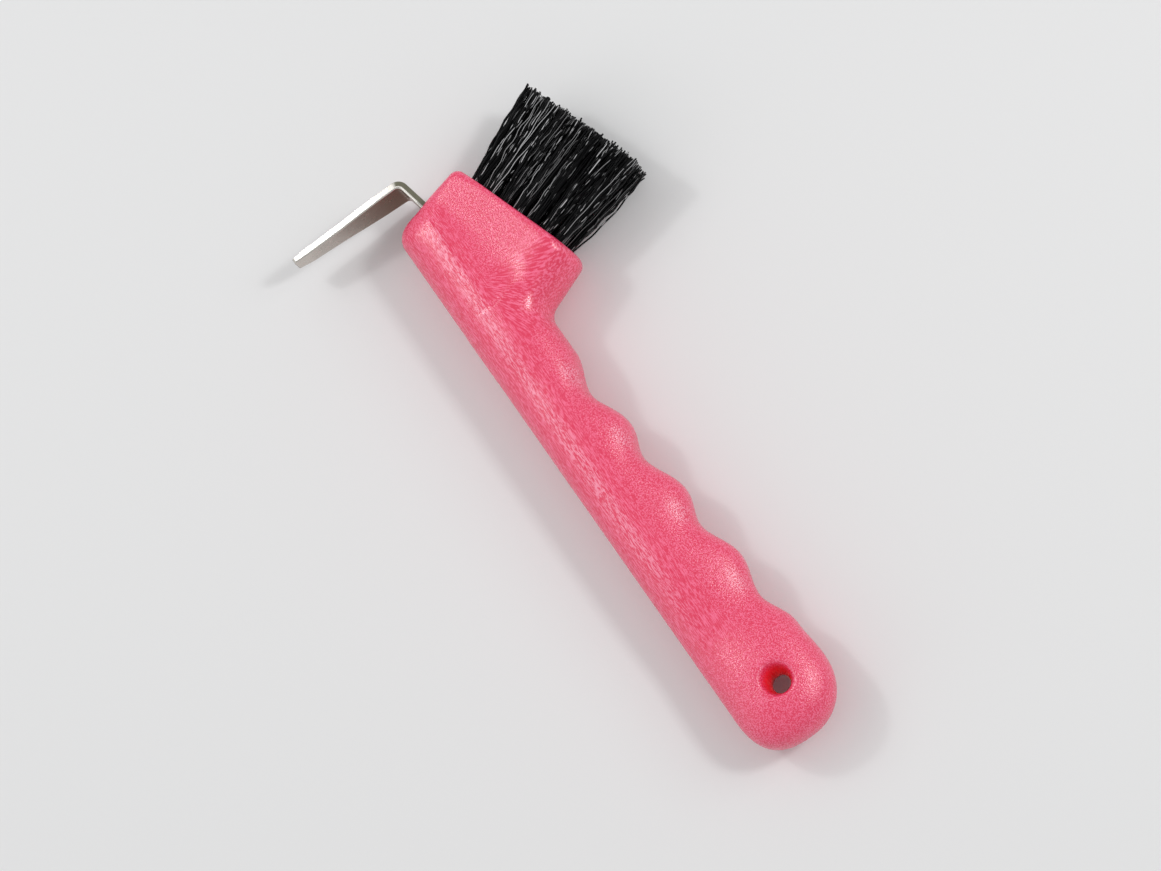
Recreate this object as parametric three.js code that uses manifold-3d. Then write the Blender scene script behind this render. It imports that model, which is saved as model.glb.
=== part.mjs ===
/**
 * Hoof pick with a brush: a moulded plastic handle holding a bent steel pick in its nose and
 * twenty tufts of black nylon in the face of its brush block.
 *
 * Units are millimetres. The tool lies on its side:
 *   +X runs along the handle from the pick to the hanging eye,
 *   +Y points from the straight back edge to the brush,
 *   +Z points up through the thickness of the handle.
 * The outline is drawn about a datum on the mid-plane of the handle; the finished group is moved
 * so that the origin is the middle of the bounding box, on the plane that the tool lies on.
 */
import * as THREE from 'three';
import { LoftGeometry } from 'three/addons/geometries/LoftGeometry.js';
import { mergeVertices } from 'three/addons/utils/BufferGeometryUtils.js';
import Module from 'manifold-3d';

// ---------------------------------------------------------------- driving dimensions

const FIT_GAP = 0.3; // gap between parts that touch

// Handle outline in plan, about the datum.
const BACK_Y = -9.8; // the straight back edge
const BRUSH_SLOPE = THREE.MathUtils.degToRad(17.8); // brush face to the back edge
const NOSE_SLOPE = THREE.MathUtils.degToRad(11.5); // nose face to a plane square to the back edge
const NOSE_TURNS_AT = -50; // X where the cross-sections begin to turn to the nose's slope
const SLOPE_FADES_AT = 4; // X where the cross-sections stand square to the back edge again
const BLOCK_FROM = -74; // nose end of the brush block, measured along the back edge
const BLOCK_TO = -27.1; // tail end of the brush block, measured along the back edge
const FACE_HEIGHT = 38; // brush face above the datum, square to the face
// Crests and hollows of the finger grip in turn, then the shoulder of the tail: [x, y].
const GRIP_WAVES = [
  [-20, 11.7], [-8, 8.5], [5.5, 12.6], [14.7, 10.2], [29, 14.5],
  [38.5, 12.2], [52, 16.3], [63, 14.2], [75, 18], [85.5, 18.8],
];
const TAIL = { x: 86, y: 4.5, length: 15.2, halfWidth: 14.3, backPower: 3, frontPower: 2.05 };

// Handle section.
const BLOCK_HALF = 11; // half thickness of the brush block
const GRIP_HALF_NOSE = 10.4; // half thickness of the grip beside the block
const GRIP_HALF_TAIL = 8.6; // half thickness at the hanging eye
const GRIP_POWER = 2.25; // how square the grip section is; 2 is an ellipse
const TAIL_DOME_POWER = 2.4; // how square the dome of the tail is
const BACK_ROUND = 10; // depth of the rounded back of the block
const FACE_ROUND = 1.6; // round between the block's sides and the brush face
const END_ROUND = 4; // round between the block's sides and its ends
const CORNER_ROUND = 2.6; // round between the brush face and the ends
const BACK_CORNER = 7.5; // round between the back edge and the nose
const NOSE_CROWN = 0.25; // how far the nose stands out in its middle
const NOSE_MIDDLE = { foot: 13, top: 19, half: 3 }; // oval in the middle of the nose
const END_DRAFT = 0.9; // how far the block's tail end leans out towards its root
const NOTCH_FILLET = 2.2; // fillet where the block's tail end meets the grip

// Hanging eye: its bore widens from the throat to each rim, and a rounded lip follows.
const EYE = { x: 85.9, y: 5.5, throat: 3.0, rim: 4.05, lip: 1.0 };

// Steel pick: a flat strip, bent once.
const PICK_EXIT = new THREE.Vector2(-76.4, 1.5); // where its centre line leaves the nose
const PICK_SLOPE = THREE.MathUtils.degToRad(11.5); // rise of the tang into the handle
const PICK_THICK = 2.0;
const PICK_BEVEL = 0.35;
const TANG_LENGTH = 35;
const TANG_WIDTH = 11;
const NECK_WIDTH = 12.6;
const SHOULDER = { inside: 0.4, outside: 0.8 }; // where the tang widens to the neck, about the nose
const NECK_LENGTH = 9.4; // nose to the corner of the bend, on the centre line
const BEND_RADIUS = 2.4; // on the centre line
const PICK_TIP = new THREE.Vector2(-86.8, -36.2);
const TIP_WIDTH = 4.8;
const TIP_THICK = 1.3;
// Sections of the working leg: [share of its length, thinning, widening], 0 to 1 each.
const LEG_SECTIONS = [[0.18, 0, 0.93], [0.37, 0, 0.71], [0.55, 0, 0.48], [0.76, 0, 0.32],
  [0.92, 0.3, 0.21], [0.98, 0.8, 0.12], [1, 1, 0]];
const LOCK_HOLE = { depth: 25, radius: 2.6 }; // hole in the tang, filled by the handle's plastic
const POCKET_REACH = 6; // how far the cutter of the tang's pocket stands out of the nose

// Brush.
const TUFT_ROWS = [{ count: 7, z: -4.6 }, { count: 6, z: 0 }, { count: 7, z: 4.6 }];
const FIELD_CENTRE = -50.2; // middle of the tuft field, along the brush face
const TUFT_PITCH = 4.8;
const TUFT_RADIUS = 1.8;
const TUFT_TIP_RADIUS = 2.35;
const TUFT_FREE = 29.2;
const TUFT_SET = 6.2; // length of the tuft inside its hole
const FLARE = 0.6 / TUFT_FREE; // outward lean of a tuft, for each pitch away from the middle
const ANCHOR = { width: 4.8, height: 1.6, thick: 0.5 };
const HOLE_ABOVE = 3; // how far the cutter of a tuft's hole stands out of the brush face

// Fineness of the curved forms.
const BACK_STEPS = 7; // round the back of the block
const SIDE_STEPS = 5; // up the side of the block
const EDGE_STEPS = 4; // round the edge of the brush face
const RING_HALF = BACK_STEPS + SIDE_STEPS + EDGE_STEPS + 1; // from the back pole to the front pole
const NOSE_STATIONS = [0, 0.4, 1.2, 2.4, 4.2, 6.3, 8.6, 20, 31]; // in from the nose
const END_STATIONS = [4.4, 3, 1.8, 0.8, 0.2]; // in from the block's tail end
const FILLET_STATIONS = [0, 0.5, 1.2, NOTCH_FILLET, 5]; // out from the block's tail end
const WAVE_STEP = 2.6; // along the finger grip, as far as its last hollow
const SHOULDER_STEP = 5; // along the shoulder of the tail
const DOME_STEPS = 10; // over the dome of the tail
const DOME_SHARE = 0.9756; // share of the dome's quarter turn covered before its end cap
const BEND_STEPS = 7;
const EYE_STEPS = 4; // down half of the eye's bore
const LIP_STEPS = 3;
const SIDES = { eye: 24, peg: 16, hole: 10, tuft: 8 };
const HEIGHT_PASSES = 12; // enough for the height of a leaning section to settle
const WELD = 1e-4;

// ---------------------------------------------------------------- solids and placing

const wasm = await Module();
wasm.setup();

/** A closed three.js geometry as a manifold solid. */
function solid(geometry, matrix = new THREE.Matrix4()) {
  const bare = new THREE.BufferGeometry();
  bare.setAttribute('position', geometry.attributes.position.clone());
  bare.setIndex(geometry.index);
  const merged = mergeVertices(bare.applyMatrix4(matrix), WELD);
  return new wasm.Manifold(new wasm.Mesh({
    numProp: 3,
    vertProperties: new Float32Array(merged.attributes.position.array),
    triVerts: new Uint32Array(merged.index.array),
  }));
}

/** A manifold solid as a three.js geometry. */
function surface(manifold) {
  const { vertProperties, triVerts } = manifold.getMesh();
  const geometry = new THREE.BufferGeometry();
  geometry.setAttribute('position', new THREE.BufferAttribute(vertProperties, 3));
  geometry.setIndex(new THREE.BufferAttribute(triVerts, 1));
  geometry.computeVertexNormals();
  return geometry;
}

/** Unit vectors of the brush block: along its face and out of its face. */
const ALONG_FACE = new THREE.Vector3(Math.cos(BRUSH_SLOPE), Math.sin(BRUSH_SLOPE), 0);
const FACE_NORMAL = new THREE.Vector3(-Math.sin(BRUSH_SLOPE), Math.cos(BRUSH_SLOPE), 0);
const UP = new THREE.Vector3(0, 0, 1);

/** A placing matrix: local X, Y and Z along the three given unit vectors. */
function placing(x, y, z, origin) {
  return new THREE.Matrix4().makeBasis(x, y, z).setPosition(origin);
}

// ---------------------------------------------------------------- handle

/** How far a quarter round of the given radius stands back, at a distance in from its edge. */
function roundInset(distance, radius) {
  const t = 1 - Math.min(Math.max(distance / radius, 0), 1);
  return radius * (1 - Math.sqrt(1 - t * t));
}

/** Quarter of a superellipse: 1 in the middle, 0 at t = 1. */
function superQuarter(t, power) {
  return Math.pow(Math.max(1 - Math.pow(Math.min(Math.max(t, 0), 1), power), 0), 1 / power);
}

/** Front edge of the grip: a cosine ramp from each crest to the next hollow. */
function gripFront(x) {
  if (x >= TAIL.x) {
    const t = (x - TAIL.x) / TAIL.length;
    return TAIL.y + TAIL.halfWidth * superQuarter(t, TAIL.frontPower);
  }
  const next = Math.max(GRIP_WAVES.findIndex(([waveX]) => waveX > x), 1);
  const [x0, y0] = GRIP_WAVES[next - 1];
  const [x1, y1] = GRIP_WAVES[next];
  const t = Math.min(Math.max((x - x0) / (x1 - x0), 0), 1);
  return y0 + (y1 - y0) * (1 - Math.cos(Math.PI * t)) / 2;
}

/** Back edge of the handle: straight, then rounded at the tail. */
function gripBack(x) {
  return TAIL.y - (TAIL.y - BACK_Y) * superQuarter((x - TAIL.x) / TAIL.length, TAIL.backPower);
}

/** Half thickness of the grip, tapering to the tail and domed at its end. */
function gripHalf(x) {
  const along = (x - BLOCK_TO) / (TAIL.x - BLOCK_TO);
  const half = THREE.MathUtils.lerp(GRIP_HALF_NOSE, GRIP_HALF_TAIL, Math.min(along, 1));
  return half * superQuarter((x - TAIL.x) / TAIL.length, TAIL_DOME_POWER);
}

/** The plane of the section that starts at a station on the back edge. */
function sectionPlane(station) {
  const toNose = THREE.MathUtils.smoothstep(-station, -NOSE_TURNS_AT, -BLOCK_FROM);
  const toTail = THREE.MathUtils.smoothstep(station, BLOCK_TO + NOTCH_FILLET, SLOPE_FADES_AT);
  const angle = THREE.MathUtils.lerp(BRUSH_SLOPE, NOSE_SLOPE, toNose) * (1 - toTail);
  return { origin: new THREE.Vector3(station, BACK_Y, 0),
    rise: new THREE.Vector3(-Math.sin(angle), Math.cos(angle), 0), angle };
}

/** Section height of the grip at a station: from the back edge to the front edge. */
function gripHeight(station) {
  const { angle } = sectionPlane(station);
  let height = 0;
  for (let pass = 0; pass < HEIGHT_PASSES; pass++) {
    height = (gripFront(station - height * Math.sin(angle)) - BACK_Y) / Math.cos(angle);
  }
  return height;
}

/** Half thickness of the grip section at a height above the back edge. */
function gripProfile(height, total, half) {
  const t = Math.abs(2 * height / total - 1);
  return half * superQuarter(t, GRIP_POWER);
}

/** Half of an oval section, back pole to front pole, as [height, half thickness] pairs. */
function ovalHalfRing(foot, top, half) {
  const squared = (value) => Math.sign(value) * Math.pow(Math.abs(value), 2 / GRIP_POWER);
  return Array.from({ length: RING_HALF + 1 }, (_, i) => {
    const angle = Math.PI * i / RING_HALF;
    return [foot + (top - foot) * (1 - squared(Math.cos(angle))) / 2, half * squared(Math.sin(angle))];
  });
}

function gripHalfRing(station) {
  const top = gripHeight(station) + roundInset(station - BLOCK_TO, NOTCH_FILLET);
  return ovalHalfRing(gripBack(station) - BACK_Y, top, gripHalf(station));
}

/** Half of a section through the brush block, as [height, half thickness] pairs. */
function blockHalfRing(station) {
  const { angle: slope } = sectionPlane(station);
  const noseGap = (station - BLOCK_FROM) * Math.cos(slope);
  const tailGap = (BLOCK_TO - END_DRAFT - station) * Math.cos(slope);
  const endGap = Math.min(noseGap, tailGap);
  const datum = station * Math.sin(BRUSH_SLOPE) - BACK_Y * Math.cos(BRUSH_SLOPE);
  const face = (FACE_HEIGHT + datum) / Math.cos(BRUSH_SLOPE - slope) - roundInset(endGap, CORNER_ROUND);
  const foot = roundInset(noseGap, BACK_CORNER);
  const upper = BLOCK_HALF - roundInset(endGap, END_ROUND);
  const lower = BLOCK_HALF - roundInset(noseGap, END_ROUND)
    - (BLOCK_HALF - GRIP_HALF_NOSE) * THREE.MathUtils.smoothstep(-tailGap, -END_ROUND * 2, 0);
  const grip = gripHeight(BLOCK_TO);
  const sideTo = face - FACE_ROUND;

  const points = [];
  for (let i = 0; i <= BACK_STEPS; i++) {
    const angle = Math.PI / 2 * i / BACK_STEPS;
    points.push([foot + BACK_ROUND * (1 - Math.cos(angle)), lower * Math.sin(angle)]);
  }
  for (let i = 1; i <= SIDE_STEPS; i++) {
    const height = THREE.MathUtils.lerp(foot + BACK_ROUND, sideTo, i / SIDE_STEPS);
    const onGrip = tailGap < END_ROUND ? gripProfile(height, grip, lower) : 0;
    points.push([height, Math.max(upper, onGrip)]);
  }
  for (let i = 1; i <= EDGE_STEPS; i++) {
    const angle = Math.PI / 2 * i / EDGE_STEPS;
    points.push([sideTo + FACE_ROUND * Math.sin(angle), upper - FACE_ROUND * (1 - Math.cos(angle))]);
  }
  points.push([face, 0]);
  return points;
}

/** A whole section ring in space, from its half. */
function ring(station, halfRing) {
  const { origin, rise } = sectionPlane(station);
  const place = ([height, z]) => origin.clone().addScaledVector(rise, height).addScaledVector(UP, z);
  const under = halfRing.map(([height, z]) => place([height, -z]));
  const over = halfRing.slice(1, -1).reverse().map(place);
  return [...under, ...over];
}

/** Stations of the sections through the block. */
function blockStations() {
  const fromNose = NOSE_STATIONS.map((gap) => BLOCK_FROM + gap);
  const fromEnd = END_STATIONS.map((gap) => BLOCK_TO - END_DRAFT - gap);
  return [...fromNose, ...fromEnd];
}

/** Stations of the sections through the grip and the tail. */
function gripStations() {
  const stations = FILLET_STATIONS.map((gap) => BLOCK_TO + gap);
  const lastHollow = GRIP_WAVES[GRIP_WAVES.length - 3][0];
  for (let x = stations.at(-1) + WAVE_STEP; x < lastHollow; x += WAVE_STEP) stations.push(x);
  for (let x = lastHollow + WAVE_STEP; x < TAIL.x - WAVE_STEP; x += SHOULDER_STEP) stations.push(x);
  for (let i = 0; i <= DOME_STEPS; i++) {
    const angle = Math.PI / 2 * DOME_SHARE * i / DOME_STEPS;
    stations.push(TAIL.x + TAIL.length * Math.sin(angle));
  }
  return stations;
}

/** The outer form of the handle, without its holes. */
function handleForm() {
  const noseMiddle = ovalHalfRing(NOSE_MIDDLE.foot, NOSE_MIDDLE.top, NOSE_MIDDLE.half);
  const sections = [
    ring(BLOCK_FROM - NOSE_CROWN, noseMiddle),
    ...blockStations().map((station) => ring(station, blockHalfRing(station))),
    ...gripStations().map((station) => ring(station, gripHalfRing(station))),
  ];
  return solid(new LoftGeometry(sections, { capStart: true, capEnd: true }));
}

/** Half of the eye's profile, from the mid-plane up past the rim, as [radius, z] pairs. */
function eyeHalfProfile() {
  const { throat, rim, lip } = EYE;
  const rimZ = gripHalf(EYE.x);
  const profile = [];
  for (let i = 0; i <= EYE_STEPS; i++) {
    const t = i / EYE_STEPS;
    profile.push([THREE.MathUtils.lerp(throat, rim, t * t), (rimZ - lip) * t]);
  }
  for (let i = 1; i <= LIP_STEPS; i++) {
    const angle = Math.PI / 2 * i / LIP_STEPS;
    profile.push([rim + lip * (1 - Math.cos(angle)), rimZ - lip * (1 - Math.sin(angle))]);
  }
  profile.push([rim + 2 * lip, rimZ + lip]);
  return profile;
}

/** Cutter for the hanging eye, the same on both sides of the mid-plane. */
function eyeCutter() {
  const upper = eyeHalfProfile();
  const lower = upper.slice(1).reverse().map(([radius, z]) => [radius, -z]);
  const [, end] = upper.at(-1);
  const profile = [[0, -end], ...lower, ...upper, [0, end]].map(([r, z]) => new THREE.Vector2(r, z));
  const turned = new THREE.LatheGeometry(profile, SIDES.eye);
  const upright = new THREE.Matrix4().makeRotationX(Math.PI / 2).setPosition(EYE.x, EYE.y, 0);
  return solid(turned, upright);
}

// ---------------------------------------------------------------- pick

const INTO_HANDLE = new THREE.Vector3(Math.cos(PICK_SLOPE), Math.sin(PICK_SLOPE), 0);
const ACROSS_TANG = new THREE.Vector3(-Math.sin(PICK_SLOPE), Math.cos(PICK_SLOPE), 0);

/** A point on the centre line of the tang, at a depth into the handle. */
function tangPoint(depth) {
  return new THREE.Vector3(PICK_EXIT.x, PICK_EXIT.y, 0).addScaledVector(INTO_HANDLE, depth);
}

/** Section of the strip: a bevelled rectangle square to the centre line. */
function stripSection(centre, normal, width, thick) {
  const w = width / 2;
  const t = thick / 2;
  const b = PICK_BEVEL;
  const corners = [[-t, -w + b], [-t + b, -w], [t - b, -w], [t, -w + b], [t, w - b], [t - b, w],
    [-t + b, w], [-t, w - b]];
  return corners.map(([across, z]) => centre.clone().addScaledVector(normal, across).setZ(z));
}

/** The strip from the end of the tang, round the bend, to the tip. */
function pickForm() {
  const corner = tangPoint(-NECK_LENGTH);
  const tip = new THREE.Vector3(PICK_TIP.x, PICK_TIP.y, 0);
  const legWay = tip.clone().sub(corner).normalize();
  const legNormal = new THREE.Vector3(-legWay.y, legWay.x, 0);
  const neckNormal = ACROSS_TANG.clone().negate();
  const turn = neckNormal.angleTo(legNormal);
  const setback = BEND_RADIUS * Math.tan(turn / 2);
  const bendFrom = tangPoint(-NECK_LENGTH + setback);
  const centre = bendFrom.clone().addScaledVector(neckNormal, BEND_RADIUS);
  const sections = [
    stripSection(tangPoint(TANG_LENGTH), neckNormal, TANG_WIDTH, PICK_THICK),
    stripSection(tangPoint(SHOULDER.inside), neckNormal, TANG_WIDTH, PICK_THICK),
    stripSection(tangPoint(-SHOULDER.outside), neckNormal, NECK_WIDTH, PICK_THICK),
  ];
  for (let i = 0; i <= BEND_STEPS; i++) {
    const angle = turn * i / BEND_STEPS;
    const outward = neckNormal.clone().applyAxisAngle(UP, angle);
    const at = centre.clone().addScaledVector(outward, -BEND_RADIUS);
    sections.push(stripSection(at, outward, NECK_WIDTH, PICK_THICK));
  }
  const bendTo = corner.clone().addScaledVector(legWay, setback);
  for (const [along, thinning, widening] of LEG_SECTIONS) {
    const width = THREE.MathUtils.lerp(TIP_WIDTH, NECK_WIDTH, widening);
    const thick = THREE.MathUtils.lerp(PICK_THICK, TIP_THICK, thinning);
    sections.push(stripSection(bendTo.clone().lerp(tip, along), legNormal, width, thick));
  }
  return solid(new LoftGeometry(sections, { capStart: true, capEnd: true }));
}

/** Round peg through the tang, of the given radius. */
function lockPeg(radius) {
  const peg = new THREE.CylinderGeometry(radius, radius, PICK_THICK * 3, SIDES.peg);
  return solid(peg, placing(INTO_HANDLE, ACROSS_TANG, UP, tangPoint(LOCK_HOLE.depth)));
}

/** The pocket that the handle's plastic leaves round the tang, with the peg left standing in it. */
function tangPocket() {
  const length = TANG_LENGTH + FIT_GAP + POCKET_REACH;
  const pocket = new THREE.BoxGeometry(length, PICK_THICK + 2 * FIT_GAP, TANG_WIDTH + 2 * FIT_GAP);
  const middle = tangPoint(TANG_LENGTH + FIT_GAP - length / 2);
  return solid(pocket, placing(INTO_HANDLE, ACROSS_TANG, UP, middle))
    .subtract(lockPeg(LOCK_HOLE.radius - FIT_GAP));
}

// ---------------------------------------------------------------- brush

/** Where each tuft stands: its foot on the brush face and the unit vectors of its lean. */
function tuftPlaces() {
  const places = [];
  for (const { count, z } of TUFT_ROWS) {
    for (let i = 0; i < count; i++) {
      const offset = i - (count - 1) / 2;
      const foot = ALONG_FACE.clone().multiplyScalar(FIELD_CENTRE + offset * TUFT_PITCH)
        .addScaledVector(FACE_NORMAL, FACE_HEIGHT).addScaledVector(UP, z);
      const lean = FACE_NORMAL.clone().addScaledVector(ALONG_FACE, offset * FLARE)
        .addScaledVector(UP, z / TUFT_PITCH * FLARE).normalize();
      const side = new THREE.Vector3().crossVectors(lean, UP).normalize();
      places.push({ foot, lean, side, cross: new THREE.Vector3().crossVectors(side, lean) });
    }
  }
  return places;
}

/** Matrix of a tuft's own frame: Y along its lean, X along the brush face, at a depth. */
function tuftFrame({ foot, lean, side, cross }, depth) {
  return placing(side, lean, cross, foot.clone().addScaledVector(lean, -depth));
}

/** The blind hole of one tuft, with the slot that its anchor bites into. */
function tuftHole(place) {
  const radius = TUFT_RADIUS + FIT_GAP;
  const deep = TUFT_SET + FIT_GAP;
  const hole = new THREE.CylinderGeometry(radius, radius, deep + HOLE_ABOVE, SIDES.hole);
  const slotDeep = ANCHOR.height + 3 * FIT_GAP; // one gap of it overlaps the hole
  const slot = new THREE.BoxGeometry(ANCHOR.thick + 2 * FIT_GAP, slotDeep, ANCHOR.width + 2 * FIT_GAP);
  return solid(hole, tuftFrame(place, (deep - HOLE_ABOVE) / 2))
    .add(solid(slot, tuftFrame(place, deep - FIT_GAP + slotDeep / 2)));
}

// ---------------------------------------------------------------- materials and assembly

const PINK = new THREE.MeshStandardMaterial({ color: 0xe9607f, roughness: 0.5, metalness: 0 });
const STEEL = new THREE.MeshStandardMaterial({ color: 0xc4c3c0, roughness: 0.28, metalness: 1 });
const NYLON = new THREE.MeshStandardMaterial({ color: 0x141214, roughness: 0.4, metalness: 0 });
const BRASS = new THREE.MeshStandardMaterial({ color: 0xb8a060, roughness: 0.4, metalness: 1 });

/** A named mesh. */
function piece(name, geometry, material) {
  const mesh = new THREE.Mesh(geometry, material);
  mesh.name = name;
  return mesh;
}

function handle(places) {
  let body = handleForm().subtract(eyeCutter()).subtract(tangPocket());
  for (const place of places) body = body.subtract(tuftHole(place));
  return piece('handle', surface(body), PINK);
}

function pick() {
  return piece('pick', surface(pickForm().subtract(lockPeg(LOCK_HOLE.radius))), STEEL);
}

function tuft(place, number) {
  const length = TUFT_FREE + TUFT_SET;
  const profile = [[0, 0], [TUFT_RADIUS, 0], [TUFT_RADIUS, TUFT_SET], [TUFT_TIP_RADIUS, length], [0, length]];
  const points = profile.map(([r, y]) => new THREE.Vector2(r, y));
  const geometry = new THREE.LatheGeometry(points, SIDES.tuft);
  const mesh = piece(`tuft_${number}`, surface(solid(geometry)), NYLON);
  mesh.applyMatrix4(tuftFrame(place, TUFT_SET));
  return mesh;
}

function anchor(place, number) {
  const geometry = new THREE.BoxGeometry(ANCHOR.thick, ANCHOR.height, ANCHOR.width);
  const mesh = piece(`anchor_${number}`, geometry, BRASS);
  mesh.applyMatrix4(tuftFrame(place, TUFT_SET + 2 * FIT_GAP + ANCHOR.height / 2));
  return mesh;
}

/** The whole tool, standing on z = 0 with the middle of its box over the origin. */
function hoofPick() {
  const group = new THREE.Group();
  const places = tuftPlaces();
  group.add(handle(places), pick());
  places.forEach((place, index) => {
    const number = String(index + 1).padStart(2, '0');
    group.add(tuft(place, number), anchor(place, number));
  });
  const box = new THREE.Box3().setFromObject(group, true);
  const middle = box.getCenter(new THREE.Vector3());
  group.position.set(-middle.x, -middle.y, -box.min.z);
  group.updateMatrixWorld(true);
  return group;
}

export default hoofPick();
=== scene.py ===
"""Looks of a hoof pick with a brush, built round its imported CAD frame.

Shapes are worked out in millimetres about the handle's datum: x along the straight back edge,
y from the back edge to the brush, z = 0 on the mid-plane. place() turns them into the frame's
metres.
"""

import math

import bpy
import numpy as np
from mathutils import Matrix, Vector


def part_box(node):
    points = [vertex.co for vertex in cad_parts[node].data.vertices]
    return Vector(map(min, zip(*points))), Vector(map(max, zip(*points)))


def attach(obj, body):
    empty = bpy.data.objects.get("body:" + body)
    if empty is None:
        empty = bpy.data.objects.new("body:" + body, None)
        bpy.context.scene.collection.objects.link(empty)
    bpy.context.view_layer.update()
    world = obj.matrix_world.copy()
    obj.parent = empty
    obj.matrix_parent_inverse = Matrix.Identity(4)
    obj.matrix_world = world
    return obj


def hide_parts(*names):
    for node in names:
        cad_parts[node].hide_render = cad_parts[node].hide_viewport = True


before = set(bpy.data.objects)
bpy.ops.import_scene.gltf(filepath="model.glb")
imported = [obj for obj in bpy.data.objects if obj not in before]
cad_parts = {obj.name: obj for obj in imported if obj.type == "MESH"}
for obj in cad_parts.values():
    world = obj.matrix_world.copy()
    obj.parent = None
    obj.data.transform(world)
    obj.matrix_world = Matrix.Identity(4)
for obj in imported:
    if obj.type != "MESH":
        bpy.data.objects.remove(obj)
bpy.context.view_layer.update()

MM = 0.001

# ---------------------------------------------------------------- driving dimensions, in mm

BACK_Y = -9.8  # straight back edge
TAIL_END = 101.19  # end of the handle in the CAD frame
BRUSH_SLOPE = math.radians(17.8)
NOSE_SLOPE = math.radians(11.5)
NOSE_X = -74.0  # where the nose face meets the back edge
FACE_HEIGHT = 38.0
BLOCK_HALF = 11.0
GRIP_HALF = ((-32, 11.0), (-14, 10.3), (40, 9.3), (66, 8.1), (81, 9.1))  # half thickness
SPINE = ((-30, 1.0), (0, -0.8), (30, -1.4), (56, -0.4), (80, 4.5))  # highest line of the section
GRIP_WAVES = ((-20, 11.7), (-8, 8.5), (5.5, 12.6), (14.7, 10.2), (29, 14.5),
              (38.5, 12.2), (52, 16.3), (63, 14.2), (75, 18.0), (85.5, 18.8))
RIDGE = ((-72, 0.5), (-58, -1.2), (0, -3.0), (30, -3.7), (70, -3.7))  # line of the painted highlight along the handle's ridge
HIGHLIGHT_SPOTS = ((-13, 7.5), (9, 8.8), (34, 9.7), (58, 11.7))  # painted highlight patches on the crests
TAIL_X = 86.0
TAIL_LENGTH = 15.2
TAIL_BLEND = (66, 84)  # the grip's section turns into the tail's between these
TAIL_POWER = 2.5  # squareness of the tail's section; 2 is an ellipse
BRUSH_SIDE_POWER = 2.08  # squareness of the tail's outline, ahead of the spine
BACK_SIDE_POWER = 2.75  # and behind it
GRIP_SQUARER = 0.5  # how much squarer the grip's section is ahead of the spine than behind it
GRIP_SOFTER = 0.1  # how much softer it is behind the spine than the tail's
GRIP_FALL = 0.09  # how fast the grip thins ahead of the spine
FALL_START = 2.0  # softness of the start of that fall
GRIP_FROM = -40.0  # end of the grip inside the block

BLOCK_POWER = 2.4  # squareness of the block's rounded back
DISH_DEPTH = 1.5  # depth of the dished side, in its valley
DISH_RISE = 0.8  # rise from the valley towards the brush face
DISH_END_RISE = 0.8  # and towards the block's tail end
END_BOW = 11.5  # radius of the bowed tail end of the block
END_AT = -27.2  # the tail end along the brush face, where it is END_HEIGHT out
END_HEIGHT = 25.0
END_DRAFT = math.radians(3.4)
FACE_CORNER = 2.8  # round between the brush face and the tail end
NOSE_CORNER = (2.6, 4.9)  # round at the nose by the brush face, and what is added by the back edge
SIDE_ROUND = 0.8  # round between the sides and the rest of the block
NOSE_ROUND = 2.8  # added to it at the nose
END_ROUND = 0.6  # added to it at the tail end, below the brush face
NOSE_EDGE = (-73, -60)  # along the brush face, where the nose's wider round fades out
END_EDGE = (-42, -36)  # and where the tail end's comes in
NOTCH_FILLET = (0.2, 2.3)  # block to grip: at the spine, and what is added ahead of it

EYE = dict(x=85.9, y=5.5, throat=2.5, rim=4.05)
EYE_RIM_Z = 8.0  # height above the mid-plane where the bore has its rim's radius
EYE_FLARE = 1.5  # how late the bore widens; 1 is a plain cone
EYE_LIP = 1.1
HOLE_GAP = 0.15  # room round a tuft in its hole
HOLE_BELOW = 2.4  # depth of the hole below the tuft
HOLE_LIP = 0.2
POCKET_GAP = 0.06  # room round the tang
POCKET_END_GAP = 0.1
POCKET_LIP = 0.15

GRID_LOW = (-84.0, -11.0, -12.0)
GRID_HIGH = (103.0, 29.0, 12.0)
GRID_STEP = 0.49  # keeps the handle below 200,000 triangles
SETTLE_PASSES = 3
SLOPE_PROBE = 0.05  # mm to either side, to find the field's slope
LEAST_SLOPE = 0.05  # squared slope that a move is never divided by less than
MOST_MOVE = 0.4  # of the grid's step, in one pass

FAN_CENTRE = (-52.0, -4.0)  # the block's grain fans out from here
FAN_SPREAD = 14.0  # mm of fan coordinate for each radian
STREAK_SHARE = 0.75
FAN_SHARE = 0.75
# how strongly highlight is painted along the ridge and on the crest patches
RIDGE_HIGHLIGHT = 0.7
SPOT_HIGHLIGHT = 0.8
SPOT_REACH = (4.6, 2.6)  # half length and half width of a painted highlight patch

PICK_EXIT = (-76.4, 1.5)
PICK_SLOPE = math.radians(11.5)
PICK_THICK = 2.0
NECK_WIDTH = 12.6
TANG_WIDTH = 11.0
TANG_LENGTH = 35.0
NECK_LENGTH = 9.4
BEND_RADIUS = 2.4
PICK_TIP = (-86.8, -36.2)
LEG_WIDTHS = ((0, 12.6), (0.18, 12.0), (0.37, 10.4), (0.55, 8.5),
              (0.76, 7.25), (0.92, 6.4), (1.0, 5.6))  # by share of the leg's length
TIP_THICK = 1.4
TIP_BREAK = 0.35  # taken off the width at the very tip
EDGE_ROUND = 0.12
INNER_BREAK = 0.28  # broken off the corners of the inner face
EDGE_LINE = 0.3  # how far across the edge its dark, dull part reaches, from -1 to 1
EDGE_REACH = 0.05  # how near to a face counts as on it
REFLECTION_LEFT = 0.3  # share of the painted reflection that is left at the tip
BEND_STEPS = 16
LEG_STEPS = 60
TANG_STATIONS = (TANG_LENGTH, TANG_LENGTH - 0.3, 20, 2.0, 1.0, 0.0, -2.0, -4.0)  # depth in the nose
SHOULDER = (0.0, 2.0)  # depths between which the neck narrows to the tang

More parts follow.
